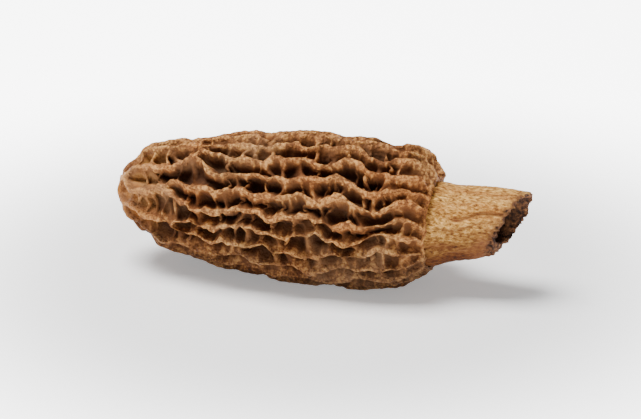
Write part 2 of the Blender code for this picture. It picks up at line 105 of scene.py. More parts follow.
SOFTENING = 8
SWELL_SIZE, SWELL = 0.0042, 0.00020
WRINKLE_SIZE, WRINKLE = 0.0015, 0.00036
WALL_RADIUS = 0.011  # the flutes are spaced at this distance from the axis
FLUTE_SIZE, FLUTE_RUN, FLUTE = 0.0013, 0.0040, 0.00036  # spacing along the cap, spacing round it, height
FLUTE_NARROW, FLUTE_SHARP, FLUTE_MEAN = 2.6, 1.5, 0.3
BEAD_SIZE, BEAD = 0.00065, 0.00013
CREST_LIFT, CREST_TOP = 0.00016, 0.0007
THINNED, THIN_TOP, THIN_FROM, THIN_FADE = 0.00022, 0.00020, 0.0010, 0.0009
RIM_X, RIM_REACH = 0.0185, 0.0020
RIM_RAGGED, RAG_SIZE, RIM_INWARD = 0.0007, 0.0016, 0.2
UNDER_FROM, UNDER_TO = 0.0, -0.85


def select_only(piece):
    """Selects this piece alone, for the operators that follow."""
    bpy.ops.object.select_all(action="DESELECT")
    piece.select_set(True)
    bpy.context.view_layer.objects.active = piece


def refined(node, name, levels):
    """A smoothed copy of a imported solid: its corners merged, its triangles paired, then subdivided."""
    piece = bpy.data.objects.new(name, frame["nodes"][node].data.copy())
    bpy.context.scene.collection.objects.link(piece)
    select_only(piece)
    if piece.data.has_custom_normals:
        bpy.ops.mesh.customdata_custom_splitnormals_clear()
    bpy.ops.object.mode_set(mode="EDIT")
    bpy.ops.mesh.select_all(action="SELECT")
    bpy.ops.mesh.remove_doubles(threshold=MERGE)
    bpy.ops.mesh.tris_convert_to_quads(face_threshold=math.pi, shape_threshold=math.pi)
    bpy.ops.object.mode_set(mode="OBJECT")
    bpy.ops.object.modifier_add(type="SUBSURF")
    smoothing = piece.modifiers[-1]
    smoothing.levels = levels
    smoothing.render_levels = levels
    bpy.ops.object.modifier_apply(modifier=smoothing.name)
    bpy.ops.object.shade_smooth()
    return piece


def read_points(piece):
    """The piece's points and their outward directions, as two tables of three columns."""
    points = np.empty(len(piece.data.vertices) * 3, np.float32)
    normals = np.empty_like(points)
    piece.data.vertices.foreach_get("co", points)
    piece.data.vertex_normals.foreach_get("vector", normals)
    return points.reshape(-1, 3).astype(float), normals.reshape(-1, 3).astype(float)


def move_points(piece, points):
    """Moves the piece's points, none of them to below the table."""
    points[:, 2] = np.maximum(points[:, 2], 0.0)
    piece.data.vertices.foreach_set("co", points.astype(np.float32).ravel())
    piece.data.update()


def keep(piece, name, values):
    """Stores one number from 0 to 1 for each point of the piece, for its material to read."""
    table = piece.data.attributes.new(name, "FLOAT", "POINT")
    table.data.foreach_set("value", np.clip(values, 0, 1).astype(np.float32))


def grain(points, seed):
    """Smooth noise from about -0.7 to 0.7 at each point, in lumps of about 1."""
    shift = Vector([seed * step for step in SEED_STEPS])
    return np.array([noise.noise(Vector(point) + shift) for point in points])


def folds(points, seed):
    """Smooth noise folded at 0, so that it is sharp in the hollows and even on the whole."""
    return np.abs(grain(points, seed)) - FOLD_MEAN


def ease(values):
    """From 0 to 1 as the values do, and level at both ends."""
    values = np.clip(values, 0, 1)
    return values * values * (3 - 2 * values)


def core_point(points):
    """The nearest point of the mushroom's own axis, for each point."""
    nearest = np.zeros_like(points)
    nearest[:, 0] = np.clip(points[:, 0], CORE_START, CORE_END)
    nearest[:, 2] = axis_height
    return nearest


def edge_ends(piece):
    """The two points of each of the piece's edges, by number."""
    ends = np.empty(len(piece.data.edges) * 2, np.int32)
    piece.data.edges.foreach_get("vertices", ends)
    return ends.reshape(-1, 2)


def softened(piece, directions):
    """The directions at the piece's points, each mixed with those of the points next to it."""
    ends = edge_ends(piece)
    beside = np.bincount(ends.ravel(), minlength=len(directions))[:, None]
    for _ in range(SOFTENING):
        sums = np.zeros_like(directions)
        np.add.at(sums, ends[:, 0], directions[ends[:, 1]])
        np.add.at(sums, ends[:, 1], directions[ends[:, 0]])
        directions = (directions + sums / beside) / 2
    return directions


def split_ribs(piece):
    """Cuts the faces more finely along the ribs, where the flutes run across."""
    points, _ = read_points(piece)
    ends = edge_ends(piece)
    runs = points[ends[:, 1]] - points[ends[:, 0]]
    lengths = np.linalg.norm(runs, axis=1)
    middles = points[ends].mean(axis=1)
    outward = middles - core_point(middles)
    from_axis = np.linalg.norm(outward, axis=1)
    rise = np.abs((runs * outward).sum(axis=1)) / (lengths * from_axis)
    chosen = (lengths > RIB_EDGE) & (rise < RIB_RISE) & (from_axis > HOLLOW_RADIUS)
    bpy.ops.object.mode_set(mode="EDIT")
    bpy.ops.mesh.select_mode(type="EDGE")
    bpy.ops.mesh.select_all(action="DESELECT")
    bpy.ops.object.mode_set(mode="OBJECT")
    piece.data.edges.foreach_set("select", chosen)
    bpy.ops.object.mode_set(mode="EDIT")
    bpy.ops.mesh.subdivide(number_cuts=RIB_CUTS, smoothness=0.0)
    bpy.ops.object.mode_set(mode="OBJECT")


def surface_tree(piece):
    """The piece's surface, ready for rays and distances."""
    shape = bmesh.new()
    shape.from_mesh(piece.data)
    tree = BVHTree.FromBMesh(shape)
    shape.free()
    return tree


def distances(tree, points):
    """How far each point lies from a surface."""
    return np.array([tree.find_nearest(Vector(point))[3] for point in points])


def radians(turns):
    """Turns of the scan as an angle."""
    return turns * math.tau / SCAN_TURNS


def scan(piece, stations):
    """The cap's radius about its axis at each station along it, in even steps round it."""
    tree = surface_tree(piece)
    radii = np.zeros((len(stations), SCAN_TURNS))
    for row, x in enumerate(stations):
        for turn in range(SCAN_TURNS):
            angle = radians(turn)
            way = Vector((0, math.cos(angle), math.sin(angle)))
            _, _, _, distance = tree.ray_cast(Vector((x, 0, axis_height)) + way * SCAN_REACH, -way)
            radii[row, turn] = SCAN_REACH - distance
    return radii


def widest_near(radii):
    """The level of the crests round each place of the scan."""
    level = radii
    for shift in range(-CREST_TURNS, CREST_TURNS + 1):
        level = np.maximum(level, np.roll(radii, shift, 1))
    padded = np.pad(level, ((CREST_ROWS, CREST_ROWS), (0, 0)), "edge")
    windows = [padded[n : n + len(radii)] for n in range(2 * CREST_ROWS + 1)]
    return np.mean(windows, axis=0)


def pit_spans(deep):
    """The first and last turn of each run of deep places in one row of the scan."""
    starts = np.flatnonzero(deep & ~np.roll(deep, 1))
    for start in starts:
        end = start
        while deep[(end + 1) % SCAN_TURNS] and end - start < SCAN_TURNS:
            end += 1
        yield start, end


def choose_webs(radii, crests, stations, draw):
    """Places for webs across the pits: row, first and last turn, at random and never too close together."""
    deep = crests - radii > np.interp(stations, *zip(*WEB_DEPTHS))[:, None]
    found = []
    for row in range(1, len(stations) - 1):
        for start, end in pit_spans(deep[row]):
            turns = np.arange(start, end + 1) % SCAN_TURNS
            span = radians(end - start) * radii[row, turns].mean()
            quarter = len(turns) // 4
            inner = turns[quarter : len(turns) - quarter]
            open_round = deep[row - 1, inner].all() and deep[row + 1, inner].all()
            if WEB_SPAN[0] < span < WEB_SPAN[1] and open_round:
                found.append((row, start, end))
    draw.shuffle(found)
    webs = []
    for row, start, end in found:
        gap = draw.uniform(*WEB_GAP)
        beside = [web for web in webs if abs(stations[web[0]] - stations[row]) < gap]
        if all(web[2] < start or web[1] > end for web in beside):
            webs.append((row, start, end))
    return webs


def web_rings(row, start, end, radii, stations, draw):
    """The points round one web, ring by ring from inside one wall of its pit to inside the other."""
    turns = np.arange(start, end + 1) % SCAN_TURNS
    floor = radii[row, turns].min()
    span = radians(end - start) * floor
    beside = [np.arange(edge - WEB_LOOK, edge + WEB_LOOK) % SCAN_TURNS for edge in (start, end)]
    ribs = [min(radii[near, side].max() for near in (row - 1, row, row + 1)) for side in beside]
    low = floor + draw.uniform(*WEB_LOW) * (min(ribs) - floor)
    slant, bow, size = draw.uniform(-1, 1), draw.uniform(-1, 1), draw.uniform(*WEB_SIZES)
    into = WEB_INTO / (radians(1) * floor)
    rings = []
    for column in range(-1, WEB_COLUMNS + 2):
        share = min(1, max(0, column / WEB_COLUMNS))
        turn = start + (end - start) * share
        turn += into * (column - WEB_COLUMNS * share)
        side = abs(2 * share - 1)
        top = low + (ribs[share > 0.5] - WEB_BELOW - low) * side**WEB_SAG
        top = max(top, floor + WEB_LEAST)
        if side == 1:
            beyond = column in (-1, WEB_COLUMNS + 1)
            top = min(top, radii[row, round(turn) % SCAN_TURNS] + WEB_ENDS[beyond])
        middle = stations[row] + slant * WEB_SLANT * span * (share - 0.5)
        middle += bow * WEB_BOW * (1 - side**2)
        angle = radians(turn)
        ring = []
        for across, rise in WEB_PROFILE:
            radius = floor - WEB_ROOT + (top - floor + WEB_ROOT) * rise
            x = middle + across * size * WEB_WIDTH / 2 * (1 + WEB_FLARE * side**3)
            ring.append((x, radius * math.cos(angle), axis_height + radius * math.sin(angle)))
        rings.append(ring)
    return rings


def make_webs(places, radii, stations, draw):
    """Thin sagging webs from wall to wall of the pits, each a closed shell with its foot in the flesh."""
    shells = bmesh.new()
    for row, start, end in places:
        rings = []
        for ring in web_rings(row, start, end, radii, stations, draw):
            rings.append([shells.verts.new(point) for point in ring])
        for first, second in zip(rings, rings[1:]):
            for corners in zip(first, first[1:] + first[:1], second[1:] + second[:1], second):
                shells.faces.new(corners)
        shells.faces.new(rings[0])
        shells.faces.new(rings[-1])
    bmesh.ops.recalc_face_normals(shells, faces=shells.faces)
    mesh = bpy.data.meshes.new("webs")
    shells.to_mesh(mesh)
    shells.free()
    webs = bpy.data.objects.new("webs", mesh)
    bpy.context.scene.collection.objects.link(webs)
    return webs


def grow_together(piece, webs):
    """Joins the webs to the piece as one closed body, without a union's spare points and loose crumbs."""
    select_only(piece)
    bpy.ops.object.modifier_add(type="BOOLEAN")
    union = piece.modifiers[-1]
    union.operation = "UNION"
    union.solver = "MANIFOLD"
    union.object = webs
    bpy.ops.object.modifier_apply(modifier=union.name)
    bpy.data.objects.remove(webs)
    shape = bmesh.new()
    shape.from_mesh(piece.data)
    spare = [point for point in shape.verts if len(point.link_edges) == 2]
    bmesh.ops.dissolve_verts(shape, verts=spare)
    shape.to_mesh(piece.data)
    shape.free()
    bpy.ops.object.mode_set(mode="EDIT")
    bpy.ops.mesh.select_mode(type="VERT")
    bpy.ops.mesh.select_all(action="DESELECT")
    bpy.ops.object.mode_set(mode="OBJECT")
    max(piece.data.vertices, key=lambda vertex: vertex.co.z).select = True
    bpy.ops.object.mode_set(mode="EDIT")
    bpy.ops.mesh.select_linked()
    bpy.ops.mesh.select_all(action="INVERT")
    bpy.ops.mesh.delete(type="VERT")
    bpy.ops.object.mode_set(mode="OBJECT")
    bpy.ops.object.shade_smooth()


def crumple(points, webs):
    """The points turned about the axis: webs draw the walls at their ends together, and the crests kink."""
    across = points * (0, 1, 1) - (0, 0, axis_height)
    radii = np.linalg.norm(across, axis=1)
    angles = np.arctan2(across[:, 2], across[:, 1])
    shift = KINK * folds(points / KINK_SIZE, seed=4)
    shift += WAVE * grain(points / (WAVE_LONG, WAVE_WIDE, WAVE_WIDE), seed=18)
    for x, start, end in webs:
        near = np.abs(points[:, 0] - x) < PULL_REACH
        along = np.exp(-np.abs(points[near, 0] - x) / PULL_RUN)
        for way, angle in ((1, start), (-1, end)):
            beside = ((angles[near] - angle + math.pi) % math.tau - math.pi) * radii[near]
            shift[near] += PULL * way * along * np.exp(-((beside / PULL_WIDE) ** 2))
    angles += shift / np.maximum(radii, HOLLOW_RADIUS)
    slid = points[:, 0] + KINK_SLIDE * folds(points / KINK_SIZE, seed=12)
    twist = TIP_TWIST * (1 - ease((points[:, 0] - points[:, 0].min()) / TIP_PALE))
    aside = radii * np.cos(angles) + twist * grain(points / TIP_TWIST_SIZE, seed=15)
    up = radii * np.sin(angles) + twist * grain(points / TIP_TWIST_SIZE, seed=16)
    return np.stack([slid, aside, axis_height + up], axis=1)


def hull_distance(points):
    """How far each point lies inside the tightest skin stretched over all of them."""
    shell = bmesh.new()
    for point in points[::HULL_EVERY]:
        shell.verts.new(point)
    hull = bmesh.ops.convex_hull(shell, input=shell.verts)
    spare = [item for item in hull["geom_interior"] if isinstance(item, bmesh.types.BMVert)]
    bmesh.ops.delete(shell, geom=spare, context="VERTS")
    tree = BVHTree.FromBMesh(shell)
    shell.free()
    return distances(tree, points)


def along_axes(table, step):
    """Applies a step to a table along each of its three directions in turn."""
    for axis in range(3):
        before, after = np.roll(table, 1, axis), np.roll(table, -1, axis)
        table = step(before, table, after)
    return table


def below_crests(points, outside):
    """How far each point lies below the crests round it: 0 on a crest, DEEP or more on a pit's floor."""
    unknown, tiny = 1.0, 1e-6
    inside_hull = hull_distance(points)
    places = (points - points.min(axis=0)) / CREST_CELL + CREST_REACH + 1
    size = places.max(axis=0).astype(int) + CREST_REACH + 3
    level = np.full(size, unknown)
    cells = places.astype(int)[outside > 0.5]
    np.minimum.at(level, tuple(cells.T), inside_hull[outside > 0.5])
    for _ in range(CREST_REACH):
        level = along_axes(level, lambda a, b, c: np.minimum(b, np.minimum(a, c)))
    known = (level < unknown).astype(float)
    level = level * known
    for _ in range(CREST_BLURS):
        level = along_axes(level, lambda a, b, c: (a + 2 * b + c) / 4)
        known = along_axes(known, lambda a, b, c: (a + 2 * b + c) / 4)
    level = level / np.maximum(known, tiny)
    from_centres = places - 0.5
    corner = from_centres.astype(int)
    share = from_centres - corner
    found = np.zeros(len(points))
    for step in [np.array([x, y, z]) for z in (0, 1) for y in (0, 1) for x in (0, 1)]:
        weight = np.prod(np.where(step, share, 1 - share), axis=1)
        found += weight * level[tuple((corner + step).T)]
    return inside_hull - found


# The body, with its webs grown on
cap = refined("cap", "cap_skin", CAP_LEVELS)
points, _ = read_points(cap)
axis_height = (points[:, 2].max() + points[:, 2].min()) / 2 - AXIS_DROP
split_ribs(cap)
stations = np.arange(SCAN_FROM, SCAN_TO, SCAN_STEP)
radii = scan(cap, stations)
draw = random.Random(WEB_SEED)
places = choose_webs(radii, widest_near(radii), stations, draw)
webs = make_webs(places, radii, stations, draw)
web_tree = surface_tree(webs)
grow_together(cap, webs)

# Drying draws the ribs together and kinks them, on the outside alone
points, _ = read_points(cap)
of_ribs = distances(web_tree, points) > MERGE
from_axis = np.linalg.norm(points - core_point(points), axis=1)
outside = ease((from_axis - HOLLOW_RADIUS + OUTSIDE_FADE) / OUTSIDE_FADE)
outside += ease((CORE_START - points[:, 0]) / TIP_FADE)
outside = np.clip(outside, 0, 1)
pulls = [(stations[row], radians(start), radians(end)) for row, start, end in places]
points += (crumple(points, pulls) - points) * outside[:, None]
move_points(cap, points)

# Swells and wrinkles all over, flutes down the walls, and beads on the crests
points, normals = read_points(cap)
normals = softened(cap, normals)
outward = points - core_point(points)
from_axis = np.linalg.norm(outward, axis=1)
depths = below_crests(points, outside)
on_wall = ease(depths / WALL_TOP) * outside
on_crest = (1 - ease(depths / WALL_TOP)) * outside
angles = np.arctan2(outward[:, 2], outward[:, 1])
turned = np.stack([points[:, 0], WALL_RADIUS * np.cos(angles), WALL_RADIUS * np.sin(angles)], axis=1)
flutes = grain(turned / (FLUTE_SIZE, FLUTE_RUN, FLUTE_RUN), seed=1)
ridges = (1 - np.clip(np.abs(flutes) * FLUTE_NARROW, 0, 1)) ** FLUTE_SHARP
swells = grain(points / SWELL_SIZE, seed=2)
beads = grain(points / BEAD_SIZE, seed=3)
wrinkles = folds(points / WRINKLE_SIZE, seed=14)
moves = (SWELL * swells + WRINKLE * wrinkles) * outside
moves += FLUTE * (ridges - FLUTE_MEAN) * on_wall + BEAD * beads * on_crest
points = points + normals * moves[:, None]

# The crests stand a little higher, the walls are thinnest just below them, and the rim is ragged
lift = CREST_LIFT * (1 - ease(depths / CREST_TOP)) * outside
points += outward / from_axis[:, None] * lift[:, None]
upper_wall = ease(depths / THIN_TOP) * (1 - ease((depths - THIN_FROM) / THIN_FADE)) * outside * of_ribs
points -= normals * (THINNED * upper_wall)[:, None]
near_rim = 1 - ease((RIM_X - points[:, 0]) / RIM_REACH)
rags = grain(turned / RAG_SIZE, seed=5)
points[:, 0] += RIM_RAGGED * near_rim * outside * (rags - RIM_INWARD)
move_points(cap, points)

# What the skin's material reads
at_tip = 1 - ease((points[:, 0] - points[:, 0].min()) / TIP_PALE)
# depth darkens the pits, partly as painted shade
keep(cap, "depth", depths / DEEP)
keep(cap, "tip", at_tip * outside)
# under marks the lower side, where the material paints shade
keep(cap, "under", ease((UNDER_FROM - outward[:, 2] / from_axis) / (UNDER_FROM - UNDER_TO)))
# flute marks the flutes' ridges, which the material paints with a highlight
keep(cap, "flute", ridges * on_wall)


def linear(colour):
    """An sRGB hex value as the linear colour that a shader takes."""
    parts = [int(colour[n : n + 2], 16) / 255 for n in (1, 3, 5)]
    return [part / 12.92 if part <= 0.04045 else ((part + 0.055) / 1.055) ** 2.4 for part in parts] + [1.0]


def add(tree, kind, settings=None, links=None):
    """Adds a node, with its settings by property or socket name and its links by socket name."""
    made = tree.nodes.new(kind)
    for name, value in (settings or {}).items():
        if isinstance(name, str) and hasattr(made, name):
            setattr(made, name, value)
        else:
            made.inputs[name].default_value = value
    for name, source in (links or {}).items():
        tree.links.new(source, made.inputs[name])
    return made


def new_material(name):
    """A material, with its nodes and its shader."""
    made = bpy.data.materials.new(name)
    made.use_nodes = True
    return made, made.node_tree, made.node_tree.nodes["Principled BSDF"]


def set_ramp(node, stops):
    """Gives a colour ramp its stops in order: place and sRGB hex value."""
    elements = node.color_ramp.elements
    for (place, colour), element in zip(stops, elements):
        element.position = place
        element.color = linear(colour)
    for place, colour in stops[2:]:
        elements.new(place).color = linear(colour)


# Dried morel skin: matt and leathery, tan on the crests where it is rubbed, warm brown on the walls of the
# pits and dark brown at their floors, partly its own colour and partly painted shade, with a painted
# highlight on the flutes' ridges and a faint dry gloss on the crests. The tip's pits are tan inside, and
# shade is painted on the side that it lies on.
SKIN_TONES = (
    (0.00, "#D2A266"),
    (0.09, "#AD7E4E"),
    (0.20, "#7F5737"),
    (0.38, "#69472E"),
    (0.65, "#5D402C"),
    (1.00, "#533A2B"),
)
TIP_TONES = (
    (0.00, "#B0804A"),
    (0.14, "#7E5636"),
    (0.40, "#6A4326"),
    (0.68, "#A0713F"),
    (0.95, "#C39354"),
)
PATCH_TINTS = ((0.35, "#DEB794"), (0.65, "#FFF6E8"))
DUST, UNDER_SHADE = "#B08B64", "#C0BCC4"
UNEVEN, RIDGE_HIGHLIGHT = 0.34, 0.32  # how much the blotches change the tone, and how much the painted highlight pales the flutes' ridges
GRIT_TONE, BEAD_TONE, GRIT_MIDDLE = 0.9, 0.22, 0.48
TIP_DEEPER, TIP_SHARE = 2.2, 0.85
BEAD_BUMP = -1.6

skin, tree, shader = new_material("dried morel skin")
place = add(tree, "ShaderNodeTexCoord").outputs["Object"]
depth = add(tree, "ShaderNodeAttribute", {"attribute_name": "depth"}).outputs["Fac"]
flute = add(tree, "ShaderNodeAttribute", {"attribute_name": "flute"}).outputs["Fac"]
tip = add(tree, "ShaderNodeAttribute", {"attribute_name": "tip"}).outputs["Fac"]
under = add(tree, "ShaderNodeAttribute", {"attribute_name": "under"}).outputs["Fac"]

# The skin darkens with its depth in the pits, partly its own brown and partly painted shade. Blotches of 2.4
# mm make that uneven, and the flutes' ridges get a painted highlight, paler than the wall between them.
blotch = add(tree, "ShaderNodeTexNoise", {"Scale": 420, "Detail": 4, "Roughness": 0.65}, {"Vector": place})
uneven = add(
    tree,
    "ShaderNodeMath",
    {"operation": "MULTIPLY_ADD", 1: UNEVEN, 2: -UNEVEN / 2},
    {0: blotch.outputs["Fac"]},
)
level = add(tree, "ShaderNodeMath", {"operation": "ADD"}, {0: depth, 1: uneven.outputs[0]})
# The flutes' ridges get a painted highlight
ridge_lit = add(
    tree,
    "ShaderNodeMath",
    {"operation": "MULTIPLY_ADD", 1: -RIDGE_HIGHLIGHT},
    {0: flute, 2: level.outputs[0]},
)

# Beads and grit, strongest on the crests. The real ones are 0.2 mm or less, which is under half a pixel, so
# the beads are drawn 0.6 mm wide, with edges shaken every 0.5 mm, and the grit 0.7 mm wide.
crest = add(
    tree,
    "ShaderNodeMapRange",
    {"From Min": 0.03, "From Max": 0.35, "To Min": 1.0, "To Max": 0.25},
    {"Value": depth},
)
ragged = add(tree, "ShaderNodeTexNoise", {"Scale": 2200, "Detail": 2}, {"Vector": place})
shaken = add(
    tree,
    "ShaderNodeMix",
    {"data_type": "VECTOR", "Factor": 0.0004},
    {"A": place, "B": ragged.outputs["Color"]},
)
beads = add(tree, "ShaderNodeTexVoronoi", {"Scale": 1750}, {"Vector": shaken.outputs["Result"]})
between = add(
    tree,
    "ShaderNodeMath",
    {"operation": "MULTIPLY_ADD", 1: BEAD_TONE, 2: -GRIT_MIDDLE},
    {0: beads.outputs["Distance"]},
)
gritty = add(tree, "ShaderNodeTexNoise", {"Scale": 1500, "Detail": 3, "Roughness": 0.7}, {"Vector": place})
mixed_grit = add(
    tree,
    "ShaderNodeMath",
    {"operation": "MULTIPLY_ADD", 1: GRIT_TONE},
    {0: gritty.outputs["Fac"], 2: between.outputs[0]},
)
on_crests = add(
    tree,
    "ShaderNodeMath",
    {"operation": "MULTIPLY_ADD"},
    {0: mixed_grit.outputs[0], 1: crest.outputs["Result"], 2: ridge_lit.outputs[0]},
)
shades = add(tree, "ShaderNodeValToRGB", links={"Fac": on_crests.outputs[0]})
set_ramp(shades, SKIN_TONES)

# At the tip the floors of the pits are tan
tip_depth = add(tree, "ShaderNodeMath", {"operation": "MULTIPLY", 1: TIP_DEEPER}, {0: level.outputs[0]})
tip_shades = add(tree, "ShaderNodeValToRGB", links={"Fac": tip_depth.outputs[0]})
set_ramp(tip_shades, TIP_TONES)
tip_share = add(tree, "ShaderNodeMath", {"operation": "MULTIPLY", 1: TIP_SHARE}, {0: tip})
toned = add(
    tree,
    "ShaderNodeMix",
    {"data_type": "RGBA"},
    {"A": shades.outputs["Color"], "B": tip_shades.outputs["Color"], "Factor": tip_share.outputs[0]},
)

# Redder patches of 8 mm, pale dust in patches of 13 mm, and painted shade on the underside
patches = add(tree, "ShaderNodeTexNoise", {"Scale": 130, "Detail": 3}, {"Vector": place})
tints = add(tree, "ShaderNodeValToRGB", links={"Fac": patches.outputs["Fac"]})
set_ramp(tints, PATCH_TINTS)
tinted = add(
    tree,
    "ShaderNodeMix",
    {"data_type": "RGBA", "blend_type": "MULTIPLY", "Factor": 0.7},
    {"A": toned.outputs["Result"], "B": tints.outputs["Color"]},
)
dusty = add(tree, "ShaderNodeTexNoise", {"Scale": 75, "Detail": 4, "Roughness": 0.6}, {"Vector": place})
dust = add(
    tree,
    "ShaderNodeMapRange",
    {"From Min": 0.52, "From Max": 0.68, "To Min": 0.0, "To Max": 0.38},
    {"Value": dusty.outputs["Fac"]},
)
dusted = add(
    tree,
    "ShaderNodeMix",
    {"data_type": "RGBA", "B": linear(DUST)},
    {"A": tinted.outputs["Result"], "Factor": dust.outputs["Result"]},
)
# The lower side gets painted shade
under_shaded = add(
    tree,
    "ShaderNodeMix",
    {"data_type": "RGBA", "blend_type": "MULTIPLY", "B": linear(UNDER_SHADE)},
    {"A": dusted.outputs["Result"], "Factor": under},
)
tree.links.new(under_shaded.outputs["Result"], shader.inputs["Base Color"])

# The crests are rubbed a little smoother than the pits, and the beads and a grit of 0.7 mm stand out as bumps
shader.inputs["Specular IOR Level"].default_value = 0.08
matt = add(
    tree,
    "ShaderNodeMapRange",
    {"From Min": 0.0, "From Max": 0.4, "To Min": 0.52, "To Max": 0.85},
    {"Value": depth},
)
tree.links.new(matt.outputs["Result"], shader.inputs["Roughness"])
fine = add(tree, "ShaderNodeTexNoise", {"Scale": 1500, "Detail": 6, "Roughness": 0.68}, {"Vector": place})
beaded = add(
    tree,
    "ShaderNodeMath",
    {"operation": "MULTIPLY", 1: BEAD_BUMP},
    {0: beads.outputs["Distance"]},
)
both = add(
    tree,
    "ShaderNodeMath",
    {"operation": "MULTIPLY_ADD"},
    {0: beaded.outputs[0], 1: crest.outputs["Result"], 2: fine.outputs["Fac"]},
)
bump = add(tree, "ShaderNodeBump", {"Strength": 0.9, "Distance": 0.0003}, {"Height": both.outputs[0]})
tree.links.new(bump.outputs["Normal"], shader.inputs["Normal"])
cap.data.materials.clear()
cap.data.materials.append(skin)
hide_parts("cap")
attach(cap, "root")

# The stem. A short hollow tube of the same flesh, cream and felted with fine brown grains, creased lengthwise
# where it shrank, and cut off at a slant with a blade. The cut dried to a dark, crumbly edge.
STEM_LEVELS = 3
CUT_FACES_FROM = 0.026
CUT_LOOKS, CUT_NEAR = (0.87, -0.31, -0.36), 0.93  # which way the cut looks, and how nearly its faces do
OUT_FROM, OUT_TO = -0.3, 0.3  # from a face that looks into the bore to one that looks out
STEM_LUMP_SIZE, STEM_LUMP, LUMP_STRETCH = 0.0035, 0.00022, (0.5, 1, 1)
FELT_SIZE, FELT, FELT_STRETCH = 0.00050, 0.00010, (0.6, 1, 1)
# Each crease: its angle round the stem, width in radians, share of the full depth, first and last place
CREASES = (
    (2.62, 0.075, 1.0, 0.0215, 0.0325),
    (2.95, 0.060, 0.7, 0.0200, 0.0300),
    (3.45, 0.080, 0.6, 0.0185, 0.0240),
    (2.15, 0.090, 0.4, 0.0205, 0.0285),
    (-2.60, 0.090, 0.5, 0.0210, 0.0300),
    (-0.60, 0.080, 0.8, 0.0200, 0.0320),
    (0.80, 0.080, 0.8, 0.0200, 0.0320),
)
CREASE, CREASE_FADE = 0.00034, 0.0020
WANDER_SIZE, WANDER = 0.006, 0.25  # how soon and by how many radians a crease leaves its line
COLLAR_END, COLLAR_FADE, COLLAR = 0.0196, 0.0030, 0.00055
CUT_EDGE, CUT_CRUMB_SIZE, CUT_CRUMB = 0.0012, 0.0007, 0.00045
FINER, FINER_SHARE = 0.45, 0.6  # the finer crumbs against the others: their size and their height
CRUMB_ASIDE, CRUMB_INWARD = 0.6, 0.2
CUT_DARK, CUT_DARK_RAGGED = 0.0014, 0.0005
CORNER, CORNER_PALER = 0.0020, 0.75
HALO, HALO_RAGGED, HALO_ABOVE = 0.0036, 0.0022, 0.35
SHADED_FROM, SHADED_TO = 0.45, -0.80

stem_solid = frame["nodes"]["stem"].data
looks = Vector(CUT_LOOKS).normalized()
cut_faces = []
for face in stem_solid.polygons:
    if face.center.x > CUT_FACES_FROM and face.normal.dot(looks) > CUT_NEAR:
        cut_faces.append(face)
cut_area = sum(face.area for face in cut_faces)
cut_normal = sum((face.normal * face.area for face in cut_faces), Vector()).normalized()
cut_level = sum(face.center.dot(cut_normal) * face.area for face in cut_faces) / cut_area

# Lumps, felt and creases, and a swelling where the stem grew into the cap
stem = refined("stem", "stem_skin", STEM_LEVELS)
points, normals = read_points(stem)
stem_height = np.polyfit(points[:, 0], points[:, 2], 1)
outward = points * (0, 1, 1)
outward[:, 2] -= np.polyval(stem_height, points[:, 0])
radii = np.linalg.norm(outward, axis=1)
outward /= radii[:, None]
angles = np.arctan2(outward[:, 2], outward[:, 1])
facing_out = ease(((outward * normals).sum(axis=1) - OUT_FROM) / (OUT_TO - OUT_FROM))
from_cut = cut_level - points @ np.array(cut_normal)
wander = grain(points * (1, 0, 0) / WANDER_SIZE, seed=6) * WANDER
furrow = np.zeros(len(points))
for middle, width, share, first, last in CREASES:
    away = (angles - middle - wander + math.pi) % math.tau - math.pi
    runs = ease((points[:, 0] - first) / CREASE_FADE) * ease((last - points[:, 0]) / CREASE_FADE)
    furrow += share * runs * np.exp(-((away / width) ** 2))
furrow *= facing_out
lumps = grain(points * LUMP_STRETCH / STEM_LUMP_SIZE, seed=7)
felt = grain(points * FELT_STRETCH / FELT_SIZE, seed=8)
moves = STEM_LUMP * lumps + FELT * felt - CREASE * furrow
points = points + normals * moves[:, None]
collar = 1 - ease((points[:, 0] - COLLAR_END) / COLLAR_FADE)
points += outward * (COLLAR * collar * facing_out)[:, None]

# Crumbs at the cut
crumbs = grain(points / CUT_CRUMB_SIZE, seed=9)
crumbs += FINER_SHARE * grain(points / (CUT_CRUMB_SIZE * FINER), seed=10)
at_cut = 1 - ease(from_cut / CUT_EDGE)
points += np.array(cut_normal) * (CUT_CRUMB * at_cut * (crumbs - CRUMB_INWARD))[:, None]
aside = grain(points / CUT_CRUMB_SIZE, seed=11)
points += outward * (CUT_CRUMB * CRUMB_ASIDE * at_cut * aside)[:, None]
move_points(stem, points)

# What the flesh's material reads
corner = ease((points[:, 0] - points[:, 0].max() + CORNER) / CORNER)
# below marks the lower side, where the material paints shade
below = ease((SHADED_FROM - outward[:, 2]) / (SHADED_FROM - SHADED_TO))
rags = grain(points / RAG_SIZE, seed=13)
darkened = 1 - ease((from_cut + CUT_DARK_RAGGED * crumbs) / CUT_DARK)
haloed = 1 - ease((from_cut + HALO_RAGGED * rags) / HALO)
keep(stem, "cut", darkened * (1 - CORNER_PALER * corner * facing_out))
keep(stem, "halo", haloed * (HALO_ABOVE + (1 - HALO_ABOVE) * below))
# inside marks the bore, which the material paints dark as shade
keep(stem, "inside", 1 - facing_out)
keep(stem, "furrow", furrow)
keep(stem, "below", below)

# Dried stem flesh: dull golden tan with a felt of short brown grains, with painted shade in the creases, on
# the lower side and in the bore.
# It turns brown towards the cut, and the cut itself is almost black with pale crumbs.
FELT_TONES = ((0.34, "#5A3616"), (0.43, "#986A31"), (0.54, "#CC9B51"), (0.68, "#F8D082"))
STAIN_TINTS = ((0.38, "#B98D64"), (0.58, "#FFFBF0"))
BORE_SHADE_TONES = ((0.40, "#2A180E"), (0.66, "#6B4529"))
CRUMB_TONES = ((0.38, "#20120A"), (0.50, "#54331F"), (0.62, "#7A5233"), (0.74, "#B08A60"))
SHADED, CREASE_SHADE, HALO_BROWN = "#886B5A", "#6E4022", "#8A5632"
CREASE_SHARE, HALO_SHARE = 0.7, 0.5

